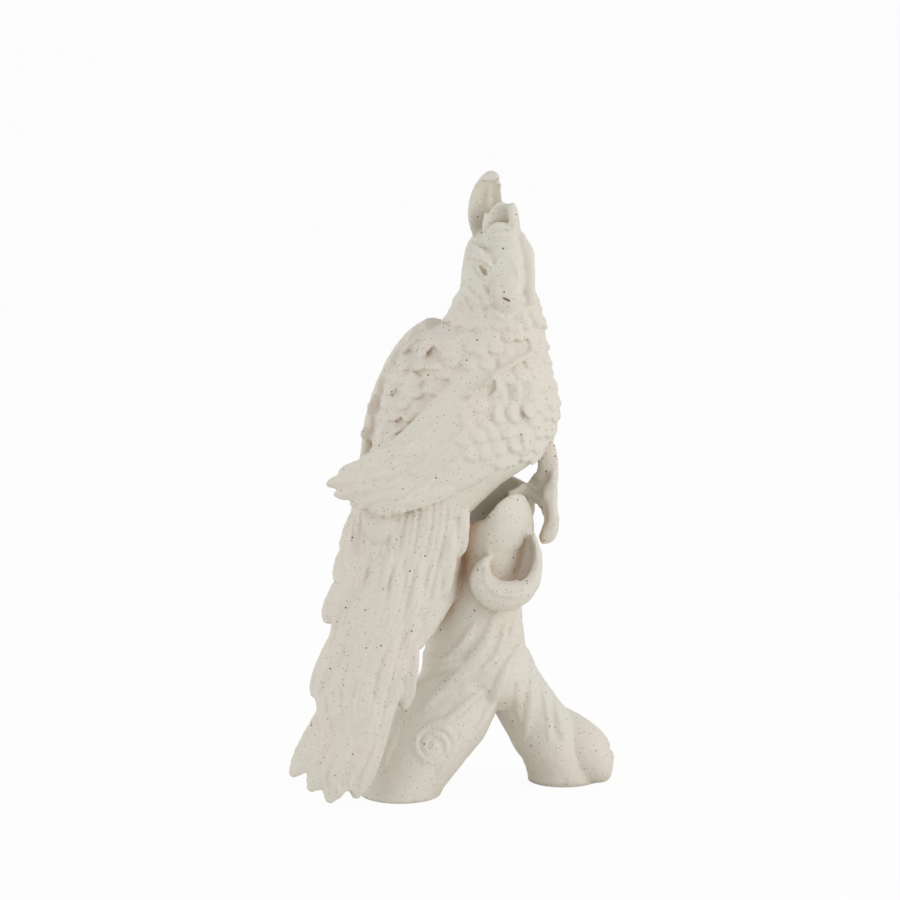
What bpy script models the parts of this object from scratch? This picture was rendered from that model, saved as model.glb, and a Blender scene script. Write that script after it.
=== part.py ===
"""Ceramic ornament: a crested parrot perched on a hollow, two-rooted tree stump, slip cast in one piece.

Metres, +Z up. The front, which shows the near wing and the tail, faces -Y. The feet stand on Z = 0.
Each form is modelled as its own closed shape, and all of them are fused into one cast body. Tables of
stations are in millimetres, measured from the anchor that the form grows from.
"""
from math import cos, pi, radians, sin

import bmesh
import bpy
import numpy as np
from mathutils import Euler, Matrix, Vector
from mathutils.bvhtree import BVHTree

MM = 0.001
NAME = "bird_ornament"

# The stump
PERCH_X = 0.024
PERCH_HEIGHT = 0.165
STUMP_DEPTH = 0.048
LEFT_FOOT_X = -0.029
LEFT_FOOT_Y = -0.019
RIGHT_FOOT_X = 0.065
RIGHT_FOOT_Y = 0.022
FOOT_WIDTH = 0.046
FOOT_DEPTH = 0.062
ROOT_RISE = 0.079

# The bird
BODY_RISE = 0.100
BODY_WIDTH = 0.100
BODY_DEPTH = 0.076
HEAD_RISE = 0.058
HEAD_WIDTH = 0.041
HEAD_DEPTH = 0.046
HEAD_LEAN = 0.0025
CREST_RISE = 0.035
BEAK_DROP = 0.024
WING_REACH = 0.094
WING_WIDTH = 0.054
WING_THICKNESS = 0.014
TAIL_CLEARANCE = 0.003
TAIL_SPREAD = 0.060
FEATHER_THICKNESS = 0.005
SCALE_PITCH = 0.0095

# The casting
WALL = 0.0045
DRAIN_DIAMETER = 0.014
CLAY_GRAIN = 0.0014
TRIANGLES = 10100


def read_curve(rows, count):
    """Rows read along a smooth curve through the given ones, so that a few stations give a flowing form."""
    rows = np.array(rows, float)
    before = 2 * rows[0] - rows[1]
    after = 2 * rows[-1] - rows[-2]
    rows = np.vstack([before, rows, after])
    spans = len(rows) - 3
    result = []
    for place in np.linspace(0, spans, count):
        span = min(int(place), spans - 1)
        t = place - span
        a, b, c, d = rows[span:span + 4]
        result.append(0.5 * (2 * b + (c - a) * t + (2 * a - 5 * b + 4 * c - d) * t ** 2
                             + (3 * b - a - 3 * c + d) * t ** 3))
    return np.array(result)


def round_section(angle):
    return cos(angle), sin(angle)


def feather_section(angle):
    """A vane: a low arch with a raised shaft down its middle."""
    across = cos(angle)
    rise = sin(angle) * (0.75 + 0.45 * max(0.0, 1 - 3.2 * abs(across)))
    return across, rise


def hooded_section(angle):
    """A leaf bent into a hood: both edges come forward of its middle."""
    across = cos(angle)
    return across, 0.5 * sin(angle) + 1.5 * across ** 2


def close_rings(form, rings):
    """Faces between neighbouring rings, with a fan at both ends."""
    loops = [[form.verts.new(Vector(point) * MM) for point in ring] for ring in rings]
    sides = len(loops[0])
    faces = []
    for first, second in zip(loops, loops[1:]):
        for side in range(sides):
            after = (side + 1) % sides
            faces.append(form.faces.new((first[side], first[after], second[after], second[side])))
    for loop in (loops[0], loops[-1]):
        middle = form.verts.new(sum((vert.co for vert in loop), Vector()) / sides)
        for side in range(sides):
            faces.append(form.faces.new((loop[side], loop[(side + 1) % sides], middle)))
    bmesh.ops.recalc_face_normals(form, faces=faces)


def stack_rings(rows, sides, steps):
    """Level rings from rows of height, left, right, front and back."""
    rings = []
    for height, left, right, front, back in read_curve(rows, steps):
        ring = []
        for side in range(sides):
            angle = 2 * pi * side / sides
            x = (left + right) / 2 + (right - left) / 2 * cos(angle)
            y = (front + back) / 2 + (back - front) / 2 * sin(angle)
            ring.append((x, y, height))
        rings.append(ring)
    return rings


def sweep_rings(rows, across, sides, steps, section=round_section):
    """Rings square to a path, from rows of x, y, z, half width and half thickness."""
    line = read_curve(rows, steps)
    points = line[:, :3]
    runs = np.gradient(points, axis=0)
    rings = []
    for point, run, (wide, thick) in zip(points, runs, line[:, 3:5]):
        run = Vector(run).normalized()
        sideways = Vector(across)
        sideways = (sideways - run * sideways.dot(run)).normalized()
        outwards = run.cross(sideways)
        ring = []
        for side in range(sides):
            u, v = section(2 * pi * side / sides)
            ring.append(Vector(point) + sideways * wide * u + outwards * thick * v)
        rings.append(ring)
    return rings


def stack(form, rows, sides=28, steps=26):
    close_rings(form, stack_rings(rows, sides, steps))


def sweep(form, rows, across, sides=16, steps=18, section=round_section):
    close_rings(form, sweep_rings(rows, across, sides, steps, section))


def as_object(form, name):
    mesh = bpy.data.meshes.new(name)
    form.to_mesh(mesh)
    form.free()
    thing = bpy.data.objects.new(name, mesh)
    bpy.context.scene.collection.objects.link(thing)
    return thing


def profile(rows, base, rise, middle, width, depth):
    """Stack rows from shares of the rise, the half width and the half depth."""
    return [((base + height * rise) / MM, (middle + left * width / 2) / MM, (middle + right * width / 2) / MM,
             front * depth / 2 / MM, back * depth / 2 / MM) for height, left, right, front, back in rows]


def moved(rows, anchor):
    """Sweep rows measured from an anchor, which is in metres."""
    return [tuple(row[axis] + anchor[axis] / MM for axis in range(3)) + tuple(row[3:]) for row in rows]


TORSO = (
    (-0.74, -1.14, -0.74, -1.14, -0.84), (-0.66, -1.22, -0.62, -1.14, -0.56), (-0.52, -1.32, -0.44, -1.10, -0.10),
    (-0.36, -1.42, -0.28, -1.08, 0.20), (-0.15, -1.60, -0.26, -1.08, 0.26), (-0.07, -1.60, -0.24, -1.12, 0.26),
    (0.03, -1.48, -0.12, -1.13, 0.36), (0.13, -1.42, 0.11, -1.13, 0.58), (0.25, -1.38, 0.46, -1.13, 0.82),
    (0.42, -1.31, 0.68, -1.08, 0.97), (0.59, -1.24, 0.72, -1.05, 1.00), (0.76, -1.12, 0.64, -0.95, 0.92),
    (0.88, -0.98, 0.60, -0.84, 0.78), (0.96, -0.84, 0.57, -0.76, 0.68), (1.02, -0.60, 0.55, -0.66, 0.58),
)
HEAD = (
    (-0.05, -1.39, 1.24, -1.22, 1.04), (0.07, -1.45, 1.24, -1.17, 0.96), (0.17, -1.29, 1.15, -1.13, 0.87),
    (0.28, -1.15, 1.05, -1.09, 0.78), (0.40, -1.05, 0.97, -1.06, 0.74), (0.57, -1.00, 1.00, -1.08, 0.74),
    (0.72, -0.93, 1.00, -1.00, 0.65), (0.81, -0.86, 0.90, -0.86, 0.57), (0.91, -0.71, 0.71, -0.66, 0.39),
    (0.98, -0.51, 0.41, -0.43, 0.22),
)
COLUMN = (
    (0.92, -0.66, 0.80, -0.84, 1.04), (0.86, -0.80, 0.82, -0.92, 1.08), (0.78, -0.88, 0.74, -0.94, 1.10),
    (0.69, -1.20, 0.68, -1.04, 1.12), (0.59, -1.50, 0.70, -1.10, 1.16), (0.48, -1.64, 0.80, -1.12, 1.20),
    (0.40, -1.70, 0.96, -1.10, 1.18), (0.33, -1.76, 1.10, -0.90, 1.10), (0.28, -1.20, 0.70, -0.50, 0.90),
)


def torso(form):
    stack(form, torso_rows())


def torso_rows():
    return profile(TORSO, PERCH_HEIGHT, BODY_RISE, PERCH_X, BODY_WIDTH, BODY_DEPTH)


def head_rows():
    return profile(HEAD, PERCH_HEIGHT + BODY_RISE, HEAD_RISE, PERCH_X + HEAD_LEAN, HEAD_WIDTH, HEAD_DEPTH)


def head_anchor():
    return Vector((PERCH_X + HEAD_LEAN, -0.004, PERCH_HEIGHT + BODY_RISE + 0.55 * HEAD_RISE))


def crown_anchor():
    return Vector((PERCH_X, -0.003, PERCH_HEIGHT + BODY_RISE + 0.92 * HEAD_RISE))


def beak(form):
    """The hooked upper half over the short lower one, both turned a little to the right of the face."""
    drop = BEAK_DROP / MM
    upper = [(5, -18, 0, 6.2, 5), (6, -24.5, -0.20 * drop, 7.6, 5.5), (7, -28, -0.48 * drop, 7.4, 5),
             (8, -28, -0.72 * drop, 5.4, 4.0), (8.6, -25, -0.90 * drop, 2.4, 2.0)]
    sweep(form, moved(upper, head_anchor()), (-1, -0.25, 0), 14, 14)
    lower = [(5, -14, -0.5 * drop, 8, 6), (6.5, -20, -0.76 * drop, 7.6, 5.5), (7.5, -21, -0.98 * drop, 4, 3)]
    sweep(form, moved(lower, head_anchor()), (-1, -0.25, 0), 12, 8)


def face(form):
    """The brow, the rim under the eye, the curled tufts of the cheek and the roll of feathers beside the face."""
    head = head_anchor()
    brow = [(-16, -14, 4, 1.4, 1.4), (-11, -20, 8, 2.2, 2.2), (-5, -23, 7.5, 2.4, 2.2), (1, -24, 3, 1.6, 1.5)]
    sweep(form, moved(brow, head), (0, 0, 1), 8, 10)
    rim = [(-15, -17, -1, 1.2, 1.2), (-10.5, -21.5, -4.5, 1.8, 1.8), (-5.5, -23.5, -3.5, 1.5, 1.5)]
    sweep(form, moved(rim, head), (0, 0, 1), 8, 8)
    side = [(13, -9, 21, 3.0, 3.0), (16.3, -13, 9, 4.4, 4.0), (16.8, -15, -5, 4.8, 4.4), (18, -16, -17, 3.6, 3.4)]
    sweep(form, moved(side, head), (1, 0, 0), 12, 14)
    for x, y, z, size in ((-14, -17, -9, 3.4), (-8.5, -20.5, -8, 3.0), (-17, -15, -15, 3.8), (-11, -19, -14, 3.8),
                          (-4.5, -21, -11, 2.8), (-7, -20, -20, 3.8), (-14, -17, -21, 4.0), (-1.5, -21, -18, 3.4)):
        curl = [(x, y + 1, z + size, 0.55 * size, 2.0), (x + 0.4, y - 1.6, z, 0.7 * size, 2.4),
                (x + 1.4, y - 2.4, z - 0.8 * size, 0.34 * size, 1.4)]
        sweep(form, moved(curl, head), (-1, 0, 0), 8, 7)


def crest(form):
    """A tall hooded plume that rolls forward at its tip, and a short curl in front of it."""
    rise = CREST_RISE / MM
    crown = crown_anchor()
    tall = [(-3.5, 0, -0.15 * rise, 9.6, 4.6), (-5.6, 3, 0.24 * rise, 11.0, 4.6), (-5.6, 3.5, 0.54 * rise, 10.6, 4.6),
            (-4.0, 1.0, 0.80 * rise, 9.0, 4.4), (-1.5, -4.0, 0.97 * rise, 6.4, 4.0), (2.4, -8.5, 0.95 * rise, 2.8, 2.6)]
    sweep(form, moved(tall, crown), (-1, -0.35, 0), 24, 24, hooded_section)
    pocket = [(4.5, -4, -0.18 * rise, 8.6, 4.2), (4.5, -6, 0.10 * rise, 8.6, 4), (5.5, -7, 0.32 * rise, 7, 3.6),
              (6.5, -9, 0.44 * rise, 5, 3)]
    sweep(form, moved(pocket, crown), (-1, -0.1, 0), 20, 14, hooded_section)
    roll = [(10.5, -7, -0.1 * rise, 4.6, 2.8), (11, -9, 0.18 * rise, 5.2, 3.0), (9.5, -11, 0.40 * rise, 5.4, 3.0),
            (5.5, -13, 0.46 * rise, 5.0, 2.8), (1.5, -14.5, 0.36 * rise, 3.4, 2.2)]
    sweep(form, moved(roll, crown), (0.3, 1, 0), 12, 18)


def feather(form, root, tip, half_width, thick, across, sag=0.0, steps=14, bow=0.0):
    """One vane from its root to its rounded tip, arched forward by sag and sideways by bow."""
    root = np.array(root, float)
    tip = np.array(tip, float)
    rows = []
    for share, wide in ((0, 0.55), (0.25, 0.85), (0.55, 1.0), (0.8, 0.92), (0.94, 0.6), (1.0, 0.16)):
        place = root + (tip - root) * share
        place[1] -= sag * 4 * share * (1 - share)
        place[0] += bow * 4 * share * (1 - share)
        rows.append(tuple(place) + (half_width * wide, thick * (1 - 0.55 * share ** 3)))
    sweep(form, rows, across, 12, steps, feather_section)


def wing_rows():
    """The near wing from its wrist, sunk in the breast, to its tip; the reach sets how far the tip stands out."""
    reach = WING_REACH / MM
    wide = WING_WIDTH / 2 / MM
    thick = WING_THICKNESS / 2 / MM
    left = PERCH_X / MM
    rise = PERCH_HEIGHT / MM
    shares = ((-0.22, -22, 61, 0.75, 0.9), (0.02, -33, 55, 1.00, 1.1), (0.26, -40, 37, 0.96, 1.0),
              (0.52, -44, 23.5, 0.72, 0.8), (0.74, -45, 17.5, 0.50, 0.6), (0.90, -44, 16.0, 0.26, 0.45))
    return [(left - share * reach, y, rise + height, w * wide, t * thick) for share, y, height, w, t in shares]


def near_wing(form):
    sweep(form, wing_rows(), (0.35, 0, -1), 24, 26)
    reach = WING_REACH / MM
    left = PERCH_X / MM
    rise = PERCH_HEIGHT / MM
    tips = ((0.81, 28.5), (0.925, 23), (1.0, 16.5), (0.955, 10.5), (0.86, 5.5), (0.74, 2.0))
    roots = ((0.10, 42), (0.16, 37), (0.20, 31), (0.22, 25), (0.20, 20), (0.16, 16))
    for place, ((along, height), (start, low)) in enumerate(zip(tips, roots)):
        root = (left - start * reach, -36, rise + low)
        tip = (left - along * reach, -46 - 0.5 * place, rise + height)
        feather(form, root, tip, 6.2, 3.8, (0.3, 0, -1), 6.0)
    ridge = [(19, -22, 88, 2.2, 3.0), (-2, -34, 76, 2.4, 3.0), (-30, -39.5, 57.5, 2.4, 3.0), (-52, -42, 42.5, 2.2, 2.6),
             (-68, -43, 33, 1.4, 1.8)]
    sweep(form, moved(ridge, Vector((PERCH_X, 0, PERCH_HEIGHT))), (0.5, 0, 0.86), 8, 20)


def far_wing(form):
    """The other wing lies folded against the back, with its long feathers stepping down to the tail."""
    perch = Vector((PERCH_X, 0, PERCH_HEIGHT))
    rows = [(-40, 6, 94, 9, 6), (-50, 13, 76, 19, 7), (-58, 17, 50, 22, 6.5), (-65, 15, 22, 18, 5.5),
            (-73, 8, -4, 12, 4.5), (-80, -3, -26, 5, 3)]
    sweep(form, moved(rows, perch), (0.62, 0.78, 0), 22, 24)
    for step in range(7):
        root = (-48 + 3.6 * step, 10 + 4.2 * step, 62 - 2 * step)
        tip = (-82 + 6.6 * step, 0 + 4.8 * step, -30 + 11 * step)
        root, tip = moved([root, tip], perch)
        feather(form, root, tip, 5.4, 3.8, (-0.62, -0.78, 0), -6.0)
    for step in range(5):
        root = (-44 + 4.5 * step, 12 + 4.5 * step, 84 - 2 * step)
        tip = (-62 + 6.0 * step, 12 + 5.0 * step, 36 + 5 * step)
        root, tip = moved([root, tip], perch)
        feather(form, root, tip, 5.4, 4.2, (-0.62, -0.78, 0), -3.0)


def tail(form):
    perch_x = PERCH_X / MM
    rise = PERCH_HEIGHT / MM
    low = TAIL_CLEARANCE / MM
    half = TAIL_SPREAD / 2 / MM
    thick = FEATHER_THICKNESS / MM

    def drop(share):
        return low + (rise - low) * share

    sheet = [(-24, -26, drop(1.02), 1.02 * half, 14), (-29, -31, drop(0.84), 1.0 * half, 11),
             (-36, -36, drop(0.69), 0.92 * half, 9.0), (-43, -42, drop(0.52), 0.80 * half, 6.5),
             (-50, -49, drop(0.36), 0.68 * half, 4.5), (-58, -54, drop(0.20), 0.56 * half, 4.0),
             (-65, -58, drop(0.05), 0.48 * half, 3.2)]
    sweep(form, sheet, (1, 0, 0), 24, 30)
    vanes = (
        ((-36, -40, 0.74), (-90, -57, 0.09), 10.5, 8.0), ((-26, -40, 0.74), (-54, -58, 0.012), 10.5, 0.0),
        ((-31, -43, 0.78), (-69, -61, 0.0), 11.5, 2.5),
        ((-42, -34, 0.80), (-78, -47, 0.355), 8.5, 1.0), ((-23, -38, 0.72), (-26.5, -46, 0.31), 7.2, 0.0),
        ((-44, -32, 0.92), (-71, -40, 0.61), 8.0, 1.0), ((-13, -34, 0.80), (-18.5, -39, 0.515), 5.5, 0.0),
        ((-46, -28, 1.00), (-64, -35, 0.735), 7.5, 0.0), ((1, -31, 0.95), (-8, -35, 0.67), 6.5, 0.0),
        ((-50, -24, 1.02), (-60, -30, 0.84), 6.0, 0.0), ((7, -28, 1.02), (3, -31, 0.83), 5.5, 0.0),
        ((-34, -46, 0.86), (-56, -55, 0.42), 8.5, 2.0), ((-22, -46, 0.84), (-38, -53, 0.44), 8.0, 0.0),
    )
    for (x, y, top), (tip_x, tip_y, end), wide, bow in vanes:
        feather(form, (x, y, drop(top)), (tip_x, tip_y, drop(end)), wide, thick, (1, -0.15, 0), 2.5, 16, bow)
    for strand in range(9):
        share = strand / 8
        x = -50 + 56 * share
        y = -41 - 5.5 * sin(pi * share)
        end = 0.80 - 0.06 * (strand % 2) - 0.05 * sin(pi * share)
        feather(form, (x, y, drop(1.03)), (x - 9, y - 1, drop(end)), 4.0, 2.8, (1, -0.1, 0), 1.5, 10)
    tuft = [(-40, -41, drop(1.02), 5, 4), (-41, -44, drop(0.95), 7, 5), (-42, -43, drop(0.86), 4, 3)]
    sweep(form, tuft, (1, 0, 0), 12, 10)


def scale(form, point, outward, flow, length, width, lift=0.34, thick=0.24):
    """One small body feather: a low rounded shield whose free end lifts off the skin."""
    outward = Vector(outward).normalized()
    flow = Vector(flow)
    flow = (flow - outward * flow.dot(outward)).normalized()
    run = (flow + outward * lift).normalized()
    side = outward.cross(flow).normalized()
    up = side.cross(run).normalized()
    if up.dot(outward) < 0:
        up.negate()
    shape = Matrix((side * width / 2, run * length / 2, up * length * thick)).transposed()
    centre = Vector(point) * MM
    bmesh.ops.create_uvsphere(form, u_segments=10, v_segments=6, radius=1,
                              matrix=Matrix.Translation(centre) @ (shape * MM).to_4x4())


def scales_on(form, rows, low, high, spacing, size):
    """Staggered rows of body feathers round a stack, from one height to another."""
    pitch = spacing / MM
    levels = read_curve(rows, 60)
    levels = levels[np.argsort(levels[:, 0])]

    def ring(height):
        left, right, front, back = (np.interp(height, levels[:, 0], levels[:, column]) for column in (1, 2, 3, 4))
        return (left + right) / 2, (front + back) / 2, (right - left) / 2, (back - front) / 2

    count = max(2, round((high - low) / pitch))
    around = max(6, round(pi * sum(ring((low + high) / 2)[2:]) / pitch))
    for level in range(count + 1):
        height = low + (high - low) * level / count
        x, y, wide, deep = ring(height)
        gap = pi * (wide + deep) / around
        for place in range(around):
            angle = 2 * pi * (place + 0.5 * (level % 2)) / around
            point = (x + wide * cos(angle), y + deep * sin(angle), height)
            outward = Vector((cos(angle) / wide, sin(angle) / deep, 0))
            scale(form, point, outward, (-0.25, 0, -1), pitch * size * 1.2, gap * size)


def plumage(form):
    perch = PERCH_HEIGHT / MM
    body = BODY_RISE / MM
    head = HEAD_RISE / MM
    scales_on(form, torso_rows(), perch + 0.34 * body, perch + 0.97 * body, SCALE_PITCH, 1.08)
    scales_on(form, head_rows(), perch + body, perch + body + 0.30 * head, 0.8 * SCALE_PITCH, 1.08)


def stump_rows():
    return profile(COLUMN, 0, PERCH_HEIGHT, PERCH_X, STUMP_DEPTH, STUMP_DEPTH)


def root_rows(rows, foot_x, foot_y, top_x, top_y, height):
    """A root's stack: its centre runs from under the column to the foot, by shares of the drop."""
    result = []
    for share, lean, wide, deep in rows:
        x = (top_x + (foot_x - top_x) * lean) / MM
        y = (top_y + (foot_y - top_y) * lean) / MM
        half_wide = wide * FOOT_WIDTH / 2 / MM
        half_deep = deep * FOOT_DEPTH / 2 / MM
        result.append((share * height / MM, x - half_wide, x + half_wide, y - half_deep, y + half_deep))
    return result


LEFT_ROOT = ((1.0, 0.0, 1.00, 0.86), (0.80, 0.03, 1.08, 0.88), (0.66, 0.22, 1.28, 0.88), (0.42, 0.51, 1.36, 0.94),
             (0.25, 0.72, 1.22, 0.98), (0.08, 0.93, 1.06, 1.0), (0.0, 1.0, 1.0, 1.0), (-0.08, 1.0, 1.0, 1.0))
RIGHT_ROOT = ((1.0, 0.0, 0.80, 0.74), (0.84, 0.12, 0.84, 0.74), (0.70, 0.28, 0.88, 0.74), (0.58, 0.44, 0.90, 0.74),
              (0.44, 0.62, 0.94, 0.76), (0.25, 0.82, 0.94, 0.80), (0.10, 0.97, 0.90, 0.84), (-0.08, 1.0, 0.86, 0.84))


def left_root_rows():
    return root_rows(LEFT_ROOT, LEFT_FOOT_X, LEFT_FOOT_Y, PERCH_X - 0.017, 0.0, ROOT_RISE)


def right_root_rows():
    return root_rows(RIGHT_ROOT, RIGHT_FOOT_X, RIGHT_FOOT_Y, PERCH_X + 0.002, 0.006, ROOT_RISE)


def stump(form):
    stack(form, stump_rows())
    stack(form, left_root_rows())
    stack(form, right_root_rows())
    toe = [(-6, 0, 30, 16, 14), (6, -6, 24, 16, 14.5), (16, -11, 17, 14.5, 14), (23.5, -14, 13, 11, 11.5),
           (28, -15, 11, 5, 7)]
    sweep(form, moved(toe, Vector((RIGHT_FOOT_X, RIGHT_FOOT_Y, 0))), (0, 1, 0), 16, 16)


def collar(form):
    """The lip of bark round the hollow top, which climbs to the right."""
    rows = []
    for step in range(15):
        angle = radians(150 + 300 * step / 14)
        behind = max(0.0, sin(angle))
        rows.append((2 + 20 * cos(angle), 3 + 22 * sin(angle), -17 + 9 * cos(angle) + 7 * behind,
                     12.5 + 1.5 * cos(angle) + 4 * behind, 3.8))
    sweep(form, moved(rows, Vector((PERCH_X, 0, PERCH_HEIGHT))), (0, 0, 1), 14, 44)


def scroll(form):
    """The bark that has peeled off and curled up into a crescent, open at the top."""
    perch = Vector((PERCH_X, 0, PERCH_HEIGHT))
    rows = [(-2, -24, -27, 3, 1.2), (-6, -27, -33, 6, 4.6), (-6.5, -30, -41, 8, 7.6), (0, -32, -48, 8.5, 8.8),
            (9, -32, -49, 8.5, 8.6), (18, -29, -45, 8, 6.6), (24, -24, -37, 7, 4.0), (24.5, -19, -28, 5.5, 2.6),
            (22.5, -15, -20, 3, 1.0)]
    sweep(form, moved(rows, perch), (0, 1, 0), 18, 36)
    ridge = [(-5, -35, -32, 0.9, 0.9), (-3.5, -39, -41, 1.6, 1.6), (3, -41, -46.5, 1.8, 1.8),
             (12, -40, -47.5, 1.6, 1.6), (19, -36, -45, 0.9, 0.9)]
    sweep(form, moved(ridge, perch), (0, 0, 1), 8, 20)


def leaf(form):
    """The curled leaf that rises from the stump's top to the belly, and its outer lobe that hooks down."""
    perch = Vector((PERCH_X, 0, PERCH_HEIGHT))
    arm = [(6, 6, -2, 9, 5), (15, 9, 3, 8, 3.6), (24, 11, 8, 8.5, 3.4), (30, 10, 15, 8, 3.2), (30.5, 7, 26, 7, 3.2),
           (26, 3, 36, 6, 3.2)]
    sweep(form, moved(arm, perch), (0.3, -0.85, 0.5), 16, 26)
    lobe = [(20, 11, 6, 7, 3.4), (29, 9, 9, 8, 3.4), (34.5, 5, 4, 7.5, 3.2), (33, 2, -4, 6, 3.0),
            (33.5, 0, -12, 6, 3.0), (31.5, -2, -19, 4.5, 2.8), (27.5, -4, -23, 1.6, 2.0)]
    sweep(form, moved(lobe, perch), (0.75, -0.65, 0.1), 16, 28)


def on_surface(tree, x, z, sink, from_front=True):
    """The point of the stump's skin in front of, or behind, a place given in millimetres."""
    side = -1 if from_front else 1
    hit = tree.ray_cast(Vector((x * MM, side * 0.3, z * MM)), Vector((0, -side, 0)))[0]
    if hit is None:
        return None
    return hit.x / MM, hit.y / MM - side * sink, hit.z / MM


def bark(form, tree):
    """Flutes that twist down the column and out along the roots, a spiral knot, and a few flutes behind."""
    front = (
        ((36, 98), (29, 84), (18, 68), (4, 56), (-12, 44), (-26, 38)),
        ((41, 92), (36, 74), (24, 56), (12, 42)),
        ((25, 99), (16, 84), (3, 70), (-10, 62), (-20, 56)),
        ((10, 100), (2, 86), (-8, 76)),
        ((45, 74), (47, 56), (46, 38), (50, 20)),
        ((50, 66), (57, 46), (62, 30)),
        ((38, 62), (38, 48), (42, 34)),
        ((8, 34), (-2, 20), (-10, 8)),
    )
    back = (
        ((10, 140), (6, 110), (-4, 80), (-22, 50), (-34, 22)),
        ((24, 144), (22, 112), (16, 82), (2, 54), (-12, 26)),
        ((36, 130), (36, 100), (42, 70), (54, 44), (64, 22)),
        ((30, 88), (40, 60), (52, 36), (56, 14)),
    )
    for paths, from_front in ((front, True), (back, False)):
        for path in paths:
            rows = []
            for x, z in read_curve(path, 12):
                place = on_surface(tree, x, z, 0.6, from_front)
                if place:
                    rows.append(place)
            if len(rows) < 4:
                continue
            rows = [row + (2.6 * sin(pi * (0.12 + 0.76 * step / (len(rows) - 1))),
                           1.9 * sin(pi * (0.12 + 0.76 * step / (len(rows) - 1)))) for step, row in enumerate(rows)]
            sweep(form, rows, (1, 0, 0), 8, 24)
    spiral = []
    for step in range(40):
        turn = step / 39
        radius = 12.5 - 9.5 * turn
        angle = radians(-60) + turn * 2.1 * 2 * pi
        place = on_surface(tree, -10 + radius * cos(angle), 31 + radius * sin(angle), 0.3)
        if place:
            spiral.append(place + (2.1 - 0.5 * turn, 2.0))
    sweep(form, spiral, (0, 1, 0), 8, 90)
    boss = on_surface(tree, -10, 31, 0)
    rows = [(boss[0], boss[1] + 2, boss[2], 3.2, 3.2), (boss[0], boss[1] - 0.6, boss[2], 2.6, 2.6),
            (boss[0], boss[1] - 1.4, boss[2], 0.8, 0.8)]
    sweep(form, rows, (1, 0, 0), 10, 6)


def ellipsoid(form, anchor, offset, radii, turn=(0, 0, 0)):
    """A round shape, in millimetres from its anchor, turned by degrees about X, Y and Z."""
    turned = Euler([radians(angle) for angle in turn]).to_matrix().to_4x4()
    size = Matrix.Diagonal((*(Vector(radii) * MM), 1))
    place = Matrix.Translation(Vector(anchor) + Vector(offset) * MM)
    bmesh.ops.create_uvsphere(form, u_segments=16, v_segments=10, radius=1, matrix=place @ turned @ size)


def remesh(thing, size):
    modifier = thing.modifiers.new("one_skin", "REMESH")
    modifier.mode = "VOXEL"
    modifier.voxel_size = size
    modifier.use_smooth_shade = True


def cut_away(thing, tool):
    modifier = thing.modifiers.new(tool.name, "BOOLEAN")
    modifier.operation = "DIFFERENCE"
    modifier.solver = "EXACT"
    modifier.object = tool


def cutter(form, name):
    """A shape that only cuts, so it is never drawn."""
    thing = as_object(form, name)
    thing.hide_render = True
    thing.display_type = "WIRE"
    return thing


def hollows():
    """What is open: the stump's top, the inside of the curled bark, the arch and the eyes."""
    form = bmesh.new()
    perch = Vector((PERCH_X, 0, PERCH_HEIGHT))
    head = head_anchor()
    ellipsoid(form, perch, (2, 2, -3), (12.5, 14.5, 16.5), (0, -24, 0))
    ellipsoid(form, perch, (17.5, -24, -30), (5.5, 13, 14), (0, 14, 0))
    ellipsoid(form, head, (-9.6, -22.5, 1.5), (2.0, 4.0, 3.4), (0, -28, 0))
    ellipsoid(form, head, (20.5, -6.5, 2), (3.4, 1.8, 2.8))
    ellipsoid(form, head, (3.5, -30.5, -14), (2.4, 3.0, 0.8), (0, 24, 0))
    return cutter(form, "hollows")


def core():
    """What pouring the slip out leaves: the stump drains through its feet, the bird through a vent in its belly."""
    form = bmesh.new()
    wall = WALL / MM

    def inside(rows, low, high, more=0.0):
        levels = read_curve(sorted(rows), 60)
        levels = levels[np.argsort(levels[:, 0])]
        result = []
        for height in np.linspace(low, high, 10):
            left, right, front, back = (np.interp(height, levels[:, 0], levels[:, column]) for column in (1, 2, 3, 4))
            inset = wall + more
            shrink = 1.0 if low < height < high else 0.55
            middle, half = (left + right) / 2, ((right - left) / 2 - inset) * shrink
            centre, deep = (front + back) / 2, ((back - front) / 2 - inset) * shrink
            result.append((height, middle - half, middle + half, centre - deep, centre + deep))
        return result

    perch = PERCH_HEIGHT / MM
    body = BODY_RISE / MM
    head = HEAD_RISE / MM
    stack(form, inside(torso_rows(), perch + 0.12 * body, perch + 0.94 * body, 1.5), 14, 12)
    stack(form, inside(head_rows(), perch + body - 6, perch + body + 0.62 * head, 4.0), 12, 8)
    stack(form, inside(stump_rows(), 0.36 * perch, 0.84 * perch, 2.0), 14, 10)
    stack(form, inside(left_root_rows(), wall, ROOT_RISE / MM, 1.5), 14, 10)
    stack(form, inside(right_root_rows(), wall, ROOT_RISE / MM, 1.5), 14, 10)
    vent = [(-4, -10, perch + 0.30 * body, 7, 7), (4, -8, perch + 0.18 * body, 7, 7), (14, -3, perch + 5, 6.5, 6.5),
            (21, 1, perch - 5, 6.5, 6.5)]
    sweep(form, vent, (0, 1, 0), 12, 10)
    for foot_x, foot_y in ((LEFT_FOOT_X, LEFT_FOOT_Y), (RIGHT_FOOT_X, RIGHT_FOOT_Y)):
        drain = DRAIN_DIAMETER / 2 / MM
        x, y = foot_x / MM, foot_y / MM
        rows = [(height, x - drain, x + drain, y - drain, y + drain) for height in (-6, 0, 6, 12)]
        stack(form, rows, 16, 4)
    thing = cutter(form, "core")
    remesh(thing, 0.0022)
    smooth = thing.modifiers.new("soft", "SMOOTH")
    smooth.iterations = 3
    fewer = thing.modifiers.new("few_faces", "DECIMATE")
    fewer.ratio = 0.022
    return thing


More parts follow.
